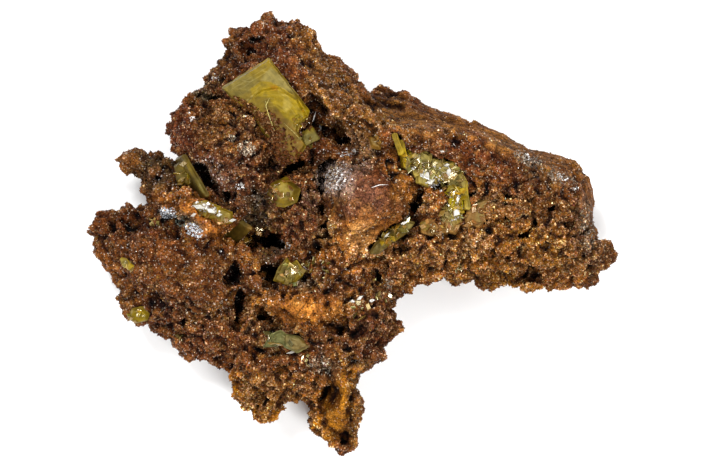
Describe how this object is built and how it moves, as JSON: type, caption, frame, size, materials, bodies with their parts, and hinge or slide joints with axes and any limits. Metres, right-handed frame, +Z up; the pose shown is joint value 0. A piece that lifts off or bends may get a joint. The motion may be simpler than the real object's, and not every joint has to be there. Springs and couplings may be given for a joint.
{
  "type": "wulfenite cluster",
  "caption": "Mineral specimen: thin yellow square plates of wulfenite seated on a lumpy, pitted mass of rusty limonite gossan with a flat trimmed back.",
  "frame": {"origin": "middle of the bounding box's footprint, at the flat trimmed back that it rests on", "axes": "+Z up out of the display face, +Y towards the top peak, +X along the long right arm"},
  "size_m": [0.0808, 0.0668, 0.0293],
  "materials": {
    "limonite_gossan": "rough, earthy, with a fine sparkling druse",
    "wulfenite": "resinous to glassy, translucent"
  },
  "bodies": {
    "root": {"gossan_matrix": "limonite_gossan", "wulfenite_main_plates": "wulfenite", "wulfenite_corner_plate": "wulfenite", "wulfenite_mid_crystal": "wulfenite", "wulfenite_tan_plate": "wulfenite", "wulfenite_spray_thin_blades": "wulfenite", "wulfenite_spray_mass": "wulfenite", "wulfenite_right_plate": "wulfenite", "wulfenite_ledge_blades": "wulfenite", "wulfenite_ledge_corner_blade": "wulfenite", "wulfenite_left_blades": "wulfenite", "wulfenite_glint_plates": "wulfenite", "wulfenite_curved_blade": "wulfenite", "wulfenite_centre_blades": "wulfenite", "wulfenite_lower_crystal": "wulfenite", "wulfenite_left_edge_crystal": "wulfenite", "wulfenite_left_sliver": "wulfenite"}
  },
  "joints": []
}
